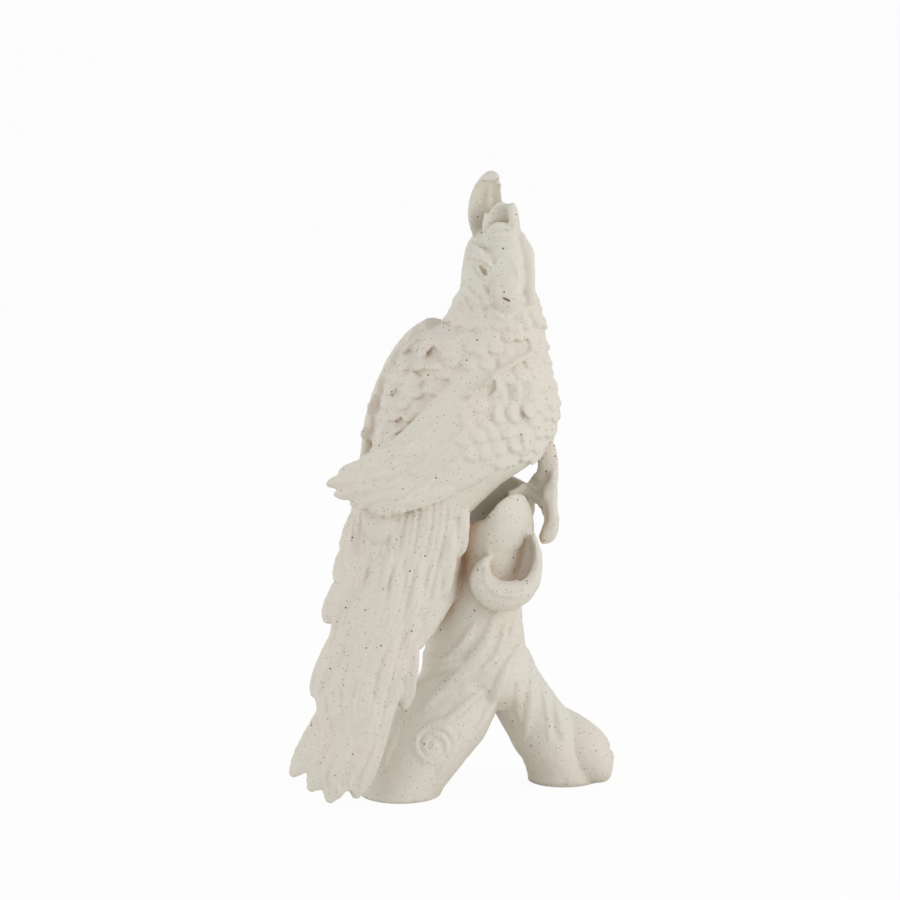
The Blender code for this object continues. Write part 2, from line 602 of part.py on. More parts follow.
def glaze():
    material = bpy.data.materials.new("speckled_stoneware")
    material.use_nodes = True
    shader = material.node_tree.nodes["Principled BSDF"]
    shader.inputs["Base Color"].default_value = (0.73, 0.68, 0.59, 1)
    shader.inputs["Roughness"].default_value = 0.6
    shader.inputs["Metallic"].default_value = 0.0
    return material


def applied(thing, name):
    """A new object that holds a thing's evaluated mesh, in place of the thing and its modifiers."""
    graph = bpy.context.evaluated_depsgraph_get()
    mesh = bpy.data.meshes.new_from_object(thing.evaluated_get(graph))
    mesh.name = name
    bpy.data.objects.remove(thing)
    result = bpy.data.objects.new(name, mesh)
    bpy.context.scene.collection.objects.link(result)
    return result


def floor_block():
    """Everything below the floor, so that the feet end flat."""
    form = bmesh.new()
    bmesh.ops.create_cube(form, size=1)
    bmesh.ops.scale(form, vec=(0.6, 0.6, 0.05), verts=form.verts)
    bmesh.ops.translate(form, vec=(0, 0, -0.025), verts=form.verts)
    return cutter(form, "floor_cutter")


def cast():
    """All forms fused into one skin with few faces, set over the origin, cut flat under its feet and hollowed."""
    form = bmesh.new()
    stump(form)
    bark(form, BVHTree.FromBMesh(form))
    for part in (collar, scroll, leaf, torso, far_wing, near_wing, tail, plumage, beak, face, crest):
        part(form)
    stack(form, head_rows(), 24, 22)
    body = as_object(form, NAME)
    remesh(body, CLAY_GRAIN)
    body = applied(body, NAME)
    fewer = body.modifiers.new("few_faces", "DECIMATE")
    fewer.ratio = min(1.0, TRIANGLES / sum(len(face.vertices) - 2 for face in body.data.polygons))
    fewer.use_collapse_triangulate = True
    body = applied(body, NAME)
    tools = (floor_block(), hollows(), core())
    corners = np.array([vert.co for vert in body.data.vertices])
    middle = (corners.min(axis=0) + corners.max(axis=0)) / 2
    shift = Matrix.Translation((-middle[0], -middle[1], 0))
    body.data.transform(shift)
    for tool in tools:
        tool.data.transform(shift)
        cut_away(body, tool)
    body.data.materials.clear()
    body.data.materials.append(glaze())
    return body


def main():
    for thing in list(bpy.data.objects):
        bpy.data.objects.remove(thing)
    cast()


main()
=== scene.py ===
"""A crested parrot on a hollow tree stump, slip cast in speckled stoneware, on a pale studio floor."""
import random
from math import cos, pi, radians, sin

import bmesh
import bpy
import numpy as np
from mathutils import Euler, Matrix, Vector, noise
from mathutils.bvhtree import BVHTree


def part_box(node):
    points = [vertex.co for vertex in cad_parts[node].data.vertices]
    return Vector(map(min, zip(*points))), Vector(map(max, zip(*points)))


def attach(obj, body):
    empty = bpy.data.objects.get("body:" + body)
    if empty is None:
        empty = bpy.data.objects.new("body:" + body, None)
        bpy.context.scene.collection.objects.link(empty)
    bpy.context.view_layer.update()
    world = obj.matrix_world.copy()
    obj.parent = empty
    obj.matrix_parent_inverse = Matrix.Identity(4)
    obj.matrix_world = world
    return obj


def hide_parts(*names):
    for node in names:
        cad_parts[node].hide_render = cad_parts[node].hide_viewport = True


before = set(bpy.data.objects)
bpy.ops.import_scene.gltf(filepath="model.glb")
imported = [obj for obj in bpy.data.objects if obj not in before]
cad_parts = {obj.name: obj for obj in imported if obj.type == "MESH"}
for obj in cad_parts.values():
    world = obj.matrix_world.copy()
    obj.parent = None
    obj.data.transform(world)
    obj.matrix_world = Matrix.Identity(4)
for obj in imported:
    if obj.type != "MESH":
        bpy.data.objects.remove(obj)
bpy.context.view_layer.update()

# The hollow stump that the bird stands on: a short column over two spread roots. It is cast in one with
# the bird, so its clay and every form after it go into one lump of clay, which is fused further down.
# Stations are in millimetres from the floor, or from the perch at the top of the stump.
MM = 0.001
clay = bmesh.new()
perch = Vector((24, 0, 165))


def read_curve(rows, count):
    """A smooth curve through the stations, read at evenly spaced places."""
    rows = np.array(rows, float)
    rows = np.vstack([2 * rows[0] - rows[1], rows, 2 * rows[-1] - rows[-2]])
    spans = len(rows) - 3
    result = []
    for place in np.linspace(0, spans, count):
        span = min(int(place), spans - 1)
        t = place - span
        a, b, c, d = rows[span:span + 4]
        result.append(0.5 * (2 * b + (c - a) * t + (2 * a - 5 * b + 4 * c - d) * t ** 2
                             + (3 * b - a - 3 * c + d) * t ** 3))
    return np.array(result)


def close_rings(form, rings):
    """Skin over neighbouring rings, with a fan at both ends."""
    loops = [[form.verts.new(Vector(point) * MM) for point in ring] for ring in rings]
    sides = len(loops[0])
    faces = []
    for first, second in zip(loops, loops[1:]):
        for side in range(sides):
            after = (side + 1) % sides
            faces.append(form.faces.new((first[side], first[after], second[after], second[side])))
    for loop in (loops[0], loops[-1]):
        middle = form.verts.new(sum((vert.co for vert in loop), Vector()) / sides)
        for side in range(sides):
            faces.append(form.faces.new((loop[side], loop[(side + 1) % sides], middle)))
    bmesh.ops.recalc_face_normals(form, faces=faces)


def stack(form, rows, sides=64, steps=60):
    """A form thrown from level rings: height, left, right, front and back."""
    rings = []
    for height, left, right, front, back in read_curve(rows, steps):
        ring = []
        for side in range(sides):
            angle = 2 * pi * side / sides
            ring.append(((left + right) / 2 + (right - left) / 2 * cos(angle),
                         (front + back) / 2 + (back - front) / 2 * sin(angle), height))
        rings.append(ring)
    close_rings(form, rings)


def round_section(angle):
    return cos(angle), sin(angle)


def sweep(form, rows, across, sides=24, steps=40, section=round_section):
    """A form drawn out along a path: x, y, z, half width and half thickness."""
    line = read_curve(rows, steps)
    runs = np.gradient(line[:, :3], axis=0)
    rings = []
    for (x, y, z, wide, thick), run in zip(line, runs):
        run = Vector(run).normalized()
        sideways = Vector(across)
        sideways = (sideways - run * sideways.dot(run)).normalized()
        outwards = run.cross(sideways)
        ring = []
        for side in range(sides):
            u, v = section(2 * pi * side / sides)
            ring.append(Vector((x, y, z)) + sideways * wide * u + outwards * thick * v)
        rings.append(ring)
    close_rings(form, rings)


def moved(rows, anchor):
    """Stations measured from an anchor."""
    return [(row[0] + anchor[0], row[1] + anchor[1], row[2] + anchor[2], *row[3:]) for row in rows]


def moved_path(path, anchor):
    """A path of x and z measured from an anchor."""
    return [(x + anchor[0], z + anchor[2]) for x, z in path]


def profile(rows, base, rise, middle, width, depth):
    """Level stations from shares of a rise, a half width and a half depth."""
    return [(base + height * rise, middle + left * width / 2, middle + right * width / 2,
             front * depth / 2, back * depth / 2) for height, left, right, front, back in rows]


column_rows = profile((
    (0.92, -0.66, 0.80, -0.84, 1.04), (0.86, -0.80, 0.82, -0.92, 1.08), (0.78, -0.88, 0.74, -0.94, 1.10),
    (0.69, -1.20, 0.68, -1.04, 1.12), (0.59, -1.50, 0.70, -1.10, 1.16), (0.48, -1.64, 0.80, -1.12, 1.20),
    (0.40, -1.70, 0.96, -1.10, 1.18), (0.33, -1.76, 1.10, -0.90, 1.10), (0.28, -1.20, 0.70, -0.50, 0.90),
), 0, perch.z, perch.x, 48, 48)


def root(rows, foot, top, width=46, depth=62, height=79):
    """A root runs from under the column down to its foot: share of the height, lean, width and depth."""
    result = []
    for share, lean, wide, deep in rows:
        x = top[0] + (foot[0] - top[0]) * lean
        y = top[1] + (foot[1] - top[1]) * lean
        result.append((share * height, x - wide * width / 2, x + wide * width / 2,
                       y - deep * depth / 2, y + deep * depth / 2))
    return result


left_foot = (-29, -19)
right_foot = (65, 22)
left_root = root(((1.0, 0.0, 1.00, 0.86), (0.80, 0.03, 1.08, 0.88), (0.66, 0.22, 1.28, 0.88),
                  (0.42, 0.51, 1.36, 0.94),
                  (0.25, 0.72, 1.22, 0.98), (0.08, 0.93, 1.06, 1.0), (0.0, 1.0, 1.0, 1.0),
                  (-0.08, 1.0, 1.0, 1.0)),
                 left_foot, (perch.x - 17, 0))
right_root = root(((1.0, 0.0, 0.80, 0.74), (0.84, 0.12, 0.84, 0.74), (0.70, 0.28, 0.88, 0.74),
                   (0.58, 0.44, 0.90, 0.74),
                   (0.44, 0.62, 0.94, 0.76), (0.25, 0.82, 0.94, 0.80), (0.10, 0.97, 0.90, 0.84),
                   (-0.08, 1.0, 0.86, 0.84)), right_foot, (perch.x + 2, 6))
for rows in (column_rows, left_root, right_root):
    stack(clay, rows)
toe = [(-6, 0, 30, 16, 14), (6, -5, 23, 16.5, 15), (15, -9, 15, 15.5, 15), (22.5, -12, 11.5, 12, 12),
       (28, -13, 11, 5.5, 7)]
sweep(clay, moved(toe, (*right_foot, 0)), (0, 1, 0), 32, 40)

# Bark is laid on the stump in flutes that twist down the column and out along the roots, and a knot is
# drawn as a spiral on the left root. A modeller rolls these on as coils of clay and blends the edges.
stump_skin = BVHTree.FromBMesh(clay)


def on_skin(skin, x, z, sink, side=-1):
    """The skin in front of a place, or behind it with side 1, and which way the skin faces there."""
    spot, facing = skin.ray_cast(Vector((x * MM, side * 0.3, z * MM)), Vector((0, -side, 0)))[:2]
    if spot is None:
        return None, None
    if facing.y * side < 0:
        facing = -facing
    return spot / MM - facing * sink, facing


def ridge(skin, path, wide, thick, side=-1, sink=0.6, across=(1, 0, 0), steps=44):
    """A soft ridge of clay laid along a path of x and z, thickest in its middle."""
    places = [on_skin(skin, x, z, sink, side)[0] for x, z in read_curve(path, 18)]
    places = [place for place in places if place]
    if len(places) < 6:
        return
    rows = []
    for step, place in enumerate(places):
        swell = sin(pi * (0.08 + 0.84 * step / (len(places) - 1))) ** 0.7
        rows.append((*place, wide * swell, thick * swell))
    sweep(clay, rows, across, 12, steps)


front_flutes = (
    (((25, 106), (20, 90), (11, 76), (-3, 62), (-16, 50)), 3.6, 2.4),
    (((37, 106), (34, 93), (28, 84), (22, 76), (8, 67), (-6, 60)), 2.0, 1.7),
    (((32, 102), (29, 92), (26, 82), (20, 72)), 1.6, 1.5),
    (((40, 88), (31, 73), (26, 61), (20, 47), (11, 33)), 3.0, 2.2),
    (((12, 78), (-5, 73), (-16, 64), (-27, 51), (-36, 31)), 2.6, 2.0),
    (((23, 64), (9, 54), (-2, 45), (-12, 44)), 2.6, 1.9),
    (((14, 100), (8, 90), (0, 80), (-8, 76)), 2.2, 1.7),
    (((46, 78), (45, 60), (44, 42), (42, 27)), 2.2, 1.8),
    (((51, 70), (52, 57), (55, 43), (56, 29)), 1.7, 1.5),
    (((54, 72), (58, 56), (61, 40), (64, 27)), 2.4, 1.9),
    (((38, 66), (38, 52), (40, 38)), 2.2, 1.7),
    (((8, 40), (-1, 25), (-10, 10)), 2.6, 1.8),
    (((-28, 44), (-34, 30), (-40, 14)), 2.6, 1.8),
)
back_flutes = (
    (((10, 140), (6, 110), (-4, 80), (-22, 50), (-34, 22)), 3.0, 2.2),
    (((24, 144), (22, 112), (16, 82), (2, 54), (-12, 26)), 3.2, 2.3),
    (((36, 130), (36, 100), (42, 70), (54, 44), (64, 22)), 3.0, 2.2),
    (((30, 88), (40, 60), (52, 36), (56, 14)), 2.6, 2.0),
    (((16, 130), (12, 100), (4, 72), (-10, 44)), 2.0, 1.6),
    (((30, 140), (30, 108), (32, 80), (44, 52), (60, 34)), 2.0, 1.6),
)
for path, wide, thick in front_flutes:
    ridge(stump_skin, path, 1.35 * wide, 1.5 * thick, sink=0.3)
for path, wide, thick in back_flutes:
    ridge(stump_skin, path, 1.35 * wide, 1.5 * thick, 1, sink=0.3)
knot = (-10, 31)
spiral = []
for step in range(60):
    turn = step / 59
    radius = 12.8 - 9.8 * turn
    angle = radians(-60) + turn * 2.1 * 2 * pi
    place = on_skin(stump_skin, knot[0] + radius * cos(angle), knot[1] + radius * sin(angle), 0.3)[0]
    if place:
        spiral.append((*place, 2.0 - 0.5 * turn, 1.9))
sweep(clay, spiral, (0, 1, 0), 12, 200)
boss = on_skin(stump_skin, *knot, 0)[0]
sweep(clay, [(boss[0], boss[1] + 2, boss[2], 3.2, 3.2), (boss[0], boss[1] - 0.8, boss[2], 2.6, 2.6),
             (boss[0], boss[1] - 1.8, boss[2], 0.8, 0.8)], (1, 0, 0), 14, 10)

# The lip of bark round the stump's mouth, the strip of bark that has peeled off under it and curled into
# a crescent, and the leaf that arches from the lip to the belly. Each is a slab of clay bent by hand.
lip = []
for step in range(31):
    turn = 150 + 300 * step / 30
    angle = radians(turn)
    top = np.interp(turn, (150, 180, 200, 244, 271, 289, 302, 310, 322, 338, 352, 365, 400, 450),
                    (-6, -10.5, -11.5, -9, -5.5, 1, 6.2, 7.2, 4.2, -0.5, -4.8, -7.5, -5, 3))
    bottom = -29.5 + 7.5 * cos(angle) - max(0.0, 5 * sin(angle))
    lip.append((1 + 18.6 * cos(angle), 3 + 22 * sin(angle), (top + bottom) / 2, (top - bottom) / 2, 3.8))
sweep(clay, moved(lip, perch), (0, 0, 1), 28, 110)
back_wall = [(-20, 8, -10, 20, 3.6), (-10, 18, -7, 21, 3.8), (3, 23, -6, 20, 3.8),
             (14, 18, -6, 17, 3.6), (21, 9, -8, 13, 3.4)]
sweep(clay, moved(back_wall, perch), (0.1, 0, 1), 28, 60)
crescent = [(-2, -24, -27, 3, 1.2), (-6, -27, -33, 6, 4.6), (-6.5, -30, -41, 8, 7.6),
            (0, -32, -48, 8.5, 8.8),
            (9, -32, -49, 8.5, 8.6), (18, -28, -45, 8.5, 6.4), (23.5, -23, -37, 8.5, 3.8),
            (24.8, -18, -28, 8, 2.6),
            (22.6, -14, -17, 4, 1.2)]
sweep(clay, moved(crescent, perch), (0, 1, 0), 30, 80)
pocket_wall = [(21, -9, -16, 2.5, 2.4), (21, -8, -25, 5.6, 2.8), (20, -9, -36, 7.0, 3.2),
               (15, -12, -47, 8.0, 4.0)]
sweep(clay, moved(pocket_wall, perch), (1, -0.2, 0), 24, 40)
crease = [(-5, -35, -32, 0.9, 0.9), (-3.5, -39, -41, 1.5, 1.5), (3, -41, -46.5, 1.7, 1.7),
          (12, -40, -47.5, 1.5, 1.5), (19, -36, -45, 0.8, 0.8)]
sweep(clay, moved(crease, perch), (0, 0, 1), 12, 60)
leaf_arm = [(8, 6, 0, 8, 4), (15, 9, 3, 7.6, 3.0), (21, 10.5, 3, 8.4, 2.8), (27, 10, 7, 9.0, 2.8),
            (31, 8, 15, 6.6, 2.8), (31, 5, 25, 6.0, 3.2), (28, 3, 34, 6.4, 3.2)]
sweep(clay, moved(leaf_arm, perch), (0.70, -0.30, 0.80), 26, 60)
leaf_inside = [(20, 12, 9, 5, 2.6), (27, 10, 6, 8.0, 2.6), (31.5, 6, -2, 5.4, 2.6),
               (33, 2.5, -10, 4.2, 2.6),
               (31.5, 0.5, -17, 4.4, 2.6), (27.6, -0.5, -22, 2.6, 2.0)]
sweep(clay, moved(leaf_inside, perch), (0.95, 0.1, 0.3), 26, 60)
leaf_rim = [(34.6, 7, 20, 1.8, 2.4), (34.2, 3, 12.5, 2.4, 2.6), (32.4, -1.5, 5.5, 4.6, 2.8),
            (33.6, -3, -3, 3.0, 2.8),
            (34.2, -3.5, -11, 3.4, 2.8), (31.6, -4, -18.5, 4.2, 2.8), (27.4, -3, -22.8, 1.8, 2.0)]
sweep(clay, moved(leaf_rim, perch), (1, -0.15, 0), 26, 60)

# The parrot's body and its head, which is turned to the right and looks out of the front.
torso_rows = profile((
    (-0.74, -1.14, -0.74, -1.14, -0.84), (-0.66, -1.22, -0.62, -1.14, -0.56),
    (-0.52, -1.32, -0.44, -1.10, -0.10),
    (-0.36, -1.42, -0.38, -1.08, 0.20), (-0.15, -1.60, -0.36, -1.08, 0.26),
    (-0.07, -1.60, -0.32, -1.12, 0.26),
    (0.03, -1.48, -0.12, -1.13, 0.36), (0.13, -1.42, 0.11, -1.13, 0.58), (0.25, -1.38, 0.46, -1.13, 0.82),
    (0.42, -1.31, 0.68, -1.08, 0.97), (0.59, -1.24, 0.72, -1.05, 1.00), (0.76, -1.12, 0.64, -0.95, 0.92),
    (0.88, -0.98, 0.60, -0.84, 0.78), (0.96, -0.84, 0.57, -0.76, 0.68), (1.02, -0.60, 0.55, -0.66, 0.58),
), perch.z, 100, perch.x, 100, 76)
neck = perch.z + 100
head_rows = profile((
    (-0.05, -1.39, 1.24, -1.22, 1.04), (0.07, -1.45, 1.24, -1.17, 0.96), (0.17, -1.29, 1.15, -1.13, 0.87),
    (0.28, -1.15, 1.05, -1.09, 0.78), (0.40, -1.05, 0.97, -1.06, 0.74), (0.57, -1.00, 1.00, -1.08, 0.74),
    (0.72, -0.93, 1.00, -1.00, 0.65), (0.81, -0.86, 0.90, -0.86, 0.57), (0.91, -0.71, 0.71, -0.66, 0.39),
    (0.98, -0.51, 0.41, -0.43, 0.22),
), neck, 58, perch.x + 2.5, 41, 46)
stack(clay, torso_rows)
stack(clay, head_rows)

# Body feathers are pressed on in staggered rows like roof tiles: small and tight on the neck and breast,
# larger and softer on the back. Each is a shield of clay whose rounded end lifts off the skin.
plumage = random.Random(7)


def tile(point, outward, flow, length, width, lift):
    """One body feather, from its buried root to its lifted round end."""
    outward = Vector(outward).normalized()
    flow = Vector(flow)
    flow = (flow - outward * flow.dot(outward)).normalized()
    side = outward.cross(flow)
    rows = []
    for share, wide, high, thick in ((-0.55, 0.55, -0.9, 0.5), (-0.1, 0.9, -0.15, 0.8),
                                     (0.25, 1.0, 0.42, 1.0),
                                     (0.45, 0.72, 0.62, 0.9), (0.56, 0.26, 0.50, 0.5)):
        place = Vector(point) + flow * length * share + outward * lift * high
        rows.append((*place, width / 2 * wide, 1.15 * thick))
    sweep(clay, rows, side, 10, 9)


def tiles_on(rows, low, high, pitch, lift, flow=(-0.3, 0, -1)):
    """Staggered rows of body feathers round a form, from one height to another."""
    levels = read_curve(rows, 80)
    levels = levels[np.argsort(levels[:, 0])]

    def girth(height):
        left, right, front, back = (np.interp(height, levels[:, 0], levels[:, column])
                                    for column in (1, 2, 3, 4))
        return np.array([(left + right) / 2, (front + back) / 2, (right - left) / 2, (back - front) / 2])

    count = round((high - low) / (0.78 * pitch))
    around = round(pi * sum(girth((low + high) / 2)[2:]) / pitch)
    for level in range(count + 1):
        for place in range(around):
            height = low + (high - low) * level / count + plumage.uniform(-0.2, 0.2) * pitch
            x, y, wide, deep = girth(height)
            slope = (girth(height + 1) - girth(height - 1)) / 2
            angle = 2 * pi * (place + 0.5 * (level % 2) + plumage.uniform(-0.2, 0.2)) / around
            gap = pi * (wide + deep) / around
            point = (x + wide * cos(angle), y + deep * sin(angle), height)
            u, v = cos(angle) / wide, sin(angle) / deep
            fall = slope[0] * u + slope[1] * v + slope[2] * wide * u * u + slope[3] * deep * v * v
            outward = (u, v, -fall)
            grown = plumage.uniform(0.85, 1.12)
            tile(point, outward, flow, 1.35 * pitch * grown, 1.16 * gap * grown,
                 lift * plumage.uniform(0.7, 1.25))


tiles_on(torso_rows, perch.z + 32, perch.z + 93, 9.4, 2.0)
tiles_on(head_rows, neck, neck + 20, 8.0, 1.6)
neck_skin = BVHTree.FromBMesh(clay)
for path in (((38, 280), (41, 270), (44, 261)), ((43.5, 281), (46, 270), (48.5, 258)),
             ((34, 276), (37, 269), (39, 262)),
             ((47, 277), (49, 266), (51, 255))):
    ridge(neck_skin, path, 2.3, 1.5)

# The near wing lies open across the body. It is a slab with a ridge along its leading edge and soft barbs
# across it, and its flight feathers end in short steps at the left.
wing_reach = 94


def vane_section(angle):
    """A feather's vane: a low arch with a raised shaft down its middle."""
    across = cos(angle)
    return across, sin(angle) * (0.8 + 0.35 * max(0.0, 1 - 3.2 * abs(across)))


def vane(root_at, tip_at, half_width, thick, across, sag=0.0, bow=0.0, steps=34):
    """One long feather, arched forward by sag and sideways by bow."""
    root_at = np.array(root_at, float)
    tip_at = np.array(tip_at, float)
    rows = []
    for share, wide in ((0, 0.55), (0.25, 0.85), (0.55, 1.0), (0.8, 0.92), (0.94, 0.6), (1.0, 0.16)):
        place = root_at + (tip_at - root_at) * share
        place[1] -= sag * 4 * share * (1 - share)
        place[0] += bow * 4 * share * (1 - share)
        rows.append((*place, half_width * wide, thick * (1 - 0.55 * share ** 3)))
    sweep(clay, rows, across, 22, steps, vane_section)


wing = [(perch.x - share * wing_reach, y, perch.z + height, w * 27, t * 7) for share, y, height, w, t in (
    (-0.22, -22, 61, 0.75, 0.9), (0.02, -33, 55, 1.00, 1.1), (0.26, -40, 37, 0.96, 1.0),
    (0.52, -44, 23.5, 0.72, 0.8), (0.74, -45, 17.5, 0.50, 0.6), (0.90, -44, 16.0, 0.26, 0.45))]
sweep(clay, wing, (0.35, 0, -1), 48, 80)
flight_tips = ((0.81, 28.5), (0.925, 23), (1.0, 16.5), (0.955, 10.5), (0.86, 5.5), (0.74, 2.0))
flight_roots = ((0.10, 42), (0.16, 37), (0.20, 31), (0.22, 25), (0.20, 20), (0.16, 16))
for place, ((along, height), (start, low)) in enumerate(zip(flight_tips, flight_roots)):
    vane((perch.x - start * wing_reach, -36, perch.z + low),
         (perch.x - along * wing_reach, -46 - 0.5 * place, perch.z + height), 6.2, 3.8, (0.3, 0, -1), 6.0)
wing_ridge = [(22, -23, 89, 1.6, 2.6), (10, -31.5, 83, 1.8, 3.0), (-6, -37.5, 73, 1.9, 3.2),
              (-30, -40.5, 57.5, 1.8, 3.2),
              (-52, -42, 42.5, 1.7, 2.8), (-68, -43, 33, 1.2, 1.8)]
sweep(clay, moved(wing_ridge, perch), (0.5, 0, 0.86), 14, 60)
wing_skin = BVHTree.FromBMesh(clay)
for row in range(5):
    for place in range(5):
        x = 44 - 8.2 * place - 3.0 * (row % 2) + plumage.uniform(-1, 1)
        z = 240 - 8.6 * row - 1.2 * place + plumage.uniform(-1, 1)
        spot, facing = on_skin(wing_skin, x, z, 0.4)
        if spot and 240 - z < 40:
            tile(spot, facing, (-0.45, 0, -1), 12.5, 10.5 * plumage.uniform(0.9, 1.1), 1.5)
for line in range(30):
    start = (18 - 2.7 * line, 236 - 2.15 * line - 14 * (line % 3) + plumage.uniform(-2, 2))
    barb = [(start[0] - left, start[1] - fall) for left, fall in ((0, 0), (8, 7), (15, 12), (24, 16))]
    ridge(wing_skin, barb, 1.9, 2.0 * plumage.uniform(0.7, 1.2), sink=0.5, across=(0.3, 0, -1))

# The far wing is folded flat along the back, and its feathers step down towards the tail. Short feathers
# are pressed on where it shows beside the breast.
far_wing = [(-33, 2, 102, 9, 5), (-41, 8, 93, 15, 6.5), (-50, 13, 76, 19, 7), (-58, 17, 50, 22, 6.5),
            (-65, 15, 22, 18, 5.5),
            (-73, 8, -4, 12, 4.5), (-80, -3, -26, 5, 3)]
sweep(clay, moved(far_wing, perch), (0.62, 0.78, 0), 44, 70)
for step in range(7):
    ends = moved([(-48 + 3.6 * step, 10 + 4.2 * step, 62 - 2 * step),
                  (-82 + 6.6 * step, 4.8 * step, -30 + 11 * step)], perch)
    vane(*ends, 5.4, 3.8, (-0.62, -0.78, 0), -6.0)
for step in range(5):
    ends = moved([(-44 + 4.5 * step, 12 + 4.5 * step, 84 - 2 * step),
                  (-62 + 6.0 * step, 12 + 5.0 * step, 36 + 5 * step)], perch)
    vane(*ends, 5.4, 4.2, (-0.62, -0.78, 0), -3.0)

far_skin = BVHTree.FromBMesh(clay)
for row in range(11):
    for place in range(4):
        z = 262 - 7.0 * row + plumage.uniform(-1.5, 1.5)
        edge = np.interp(z, (187, 215, 241, 258, 267), (-52, -48, -38, -26, -15))
        x = edge + 2 + 7 * place + 3.5 * (row % 2) + plumage.uniform(-1, 1)
        spot, facing = on_skin(far_skin, x, z, 0.5)
        if spot and spot[1] > -32 and facing.y < -0.4:
            tile(spot, facing, (-0.35, 0, -1), 13 * plumage.uniform(0.85, 1.1), 8.5, 1.5)

# The tail hangs in front of the stump as one thick sheet. Long feathers lie over it in layers, short ones
# come out from under the wing, and strands run down its front, its back and the back of the far wing.


def down(share):
    """A height on the tail, as a share from its clearance over the floor up to the perch."""
    return 3 + (perch.z - 3) * share


tail_sheet = [(-24, -26, down(1.02), 30.6, 14), (-29, -31, down(0.84), 30, 11),
              (-36, -36, down(0.69), 27.6, 9.0),
              (-43, -42, down(0.52), 24, 6.5), (-50, -49, down(0.36), 20.4, 4.5),
              (-58, -54, down(0.20), 16.8, 4.0),
              (-65, -58, down(0.05), 14.4, 3.2)]
sweep(clay, tail_sheet, (1, 0, 0), 48, 90)
tail_feathers = (
    ((-36, -40, 0.74), (-90, -57, 0.09), 10.5, 3.6, 8.0),
    ((-26, -40, 0.74), (-54, -58, 0.012), 10.5, 4.0, 0.0),
    ((-31, -43, 0.78), (-69, -61, 0.0), 11.5, 3.8, 2.5),
    ((-33, -42, 0.60), (-80, -59, 0.04), 10.5, 3.6, 5.0),
    ((-42, -34, 0.80), (-78, -47, 0.355), 8.5, 4.2, 1.0),
    ((-23, -38, 0.72), (-26.5, -46, 0.31), 7.2, 4.2, 0.0),
    ((-44, -32, 0.92), (-71, -40, 0.61), 8.0, 4.2, 1.0),
    ((-13, -34, 0.80), (-18.5, -39, 0.515), 5.5, 4.2, 0.0),
    ((-46, -28, 1.00), (-64, -35, 0.735), 7.5, 4.2, 0.0), ((1, -31, 0.95), (-8, -35, 0.67), 6.5, 4.4, 0.0),
    ((-50, -24, 1.02), (-60, -30, 0.84), 6.0, 4.2, 0.0), ((7, -28, 1.02), (3, -31, 0.83), 5.5, 4.4, 0.0),
    ((-34, -40, 0.86), (-58, -49, 0.40), 11.0, 3.4, 2.0),
    ((-22, -40, 0.84), (-37, -47.5, 0.40), 10.0, 3.2, 0.0),
    ((-46, -42, 0.55), (-75, -54, 0.22), 8.0, 3.4, 2.0),
)
for (x, y, top), (tip_x, tip_y, end), wide, thick, bow in tail_feathers:
    vane((x, y, down(top)), (tip_x, tip_y, down(end)), wide, thick, (1, -0.15, 0), 2.5, bow, 50)
tail_skin = BVHTree.FromBMesh(clay)
tail_edges = np.array(((3, -73, -51), (16, -86, -46), (41, -72, -37), (61, -79, -28), (88, -71, -20),
                       (115, -65, -1),
                       (142, -60, 6), (166, -57, 10)), float)


def flow_line(share, low, high):
    """A path down the tail that keeps its share of the way from the left edge to the right one."""
    path = []
    for height in np.linspace(high, low, 5):
        left, right = (np.interp(height, tail_edges[:, 0], tail_edges[:, side]) for side in (1, 2))
        path.append((left + (right - left) * share, height))
    return path


for row, (top, length, count) in enumerate(((166, 36, 16), (146, 44, 14), (122, 46, 14), (98, 48, 13),
                                            (72, 44, 12),
                                            (46, 38, 10))):
    for strand in range(count):
        share = 0.05 + 0.90 * (strand + 0.5 * (row % 2) + plumage.uniform(-0.2, 0.2)) / count
        high = top + plumage.uniform(-6, 6)
        low = max(5, high - length * plumage.uniform(0.8, 1.25))
        ridge(tail_skin, flow_line(share, low, high), 2.1 * plumage.uniform(0.8, 1.15),
              2.5 * plumage.uniform(0.7, 1.2), sink=0.5)
for row, (top, length, count) in enumerate(((146, 52, 9), (112, 50, 9), (80, 46, 8), (50, 42, 7))):
    for strand in range(count):
        share = 0.08 + 0.84 * (strand + 0.5 * (row % 2) + plumage.uniform(-0.2, 0.2)) / count
        high = top + plumage.uniform(-6, 6)
        ridge(tail_skin, flow_line(share, max(5, high - length), high), 2.6,
              2.4 * plumage.uniform(0.7, 1.2), 1, sink=0.5)
for row, (high, length, count) in enumerate(((262, 34, 4), (246, 46, 5), (226, 52, 5), (200, 50, 4))):
    for strand in range(count):
        share = -0.75 + 1.5 * (strand + 0.5 * (row % 2)) / count
        line = []
        for z in np.linspace(high, high - length, 5):
            middle, reach = (np.interp(z, (139, 161, 187, 215, 241, 258, 267), values) for values in (
                (-56, -49, -41, -34, -26, -17, -9), (3, 7.4, 11, 13.6, 11.8, 9.3, 5.6)))
            line.append((middle + share * reach, z))
        ridge(tail_skin, line, 4.4, 3.0 * plumage.uniform(0.8, 1.1), 1, sink=0.6)
tuft = [(-40, -40, down(1.02), 10, 3.6), (-41, -42.5, down(0.965), 9.5, 3.4),
        (-42, -42.5, down(0.92), 6.5, 2.6),
        (-43, -42, down(0.89), 2.5, 1.2)]
sweep(clay, tuft, (1, 0, 0), 24, 30)

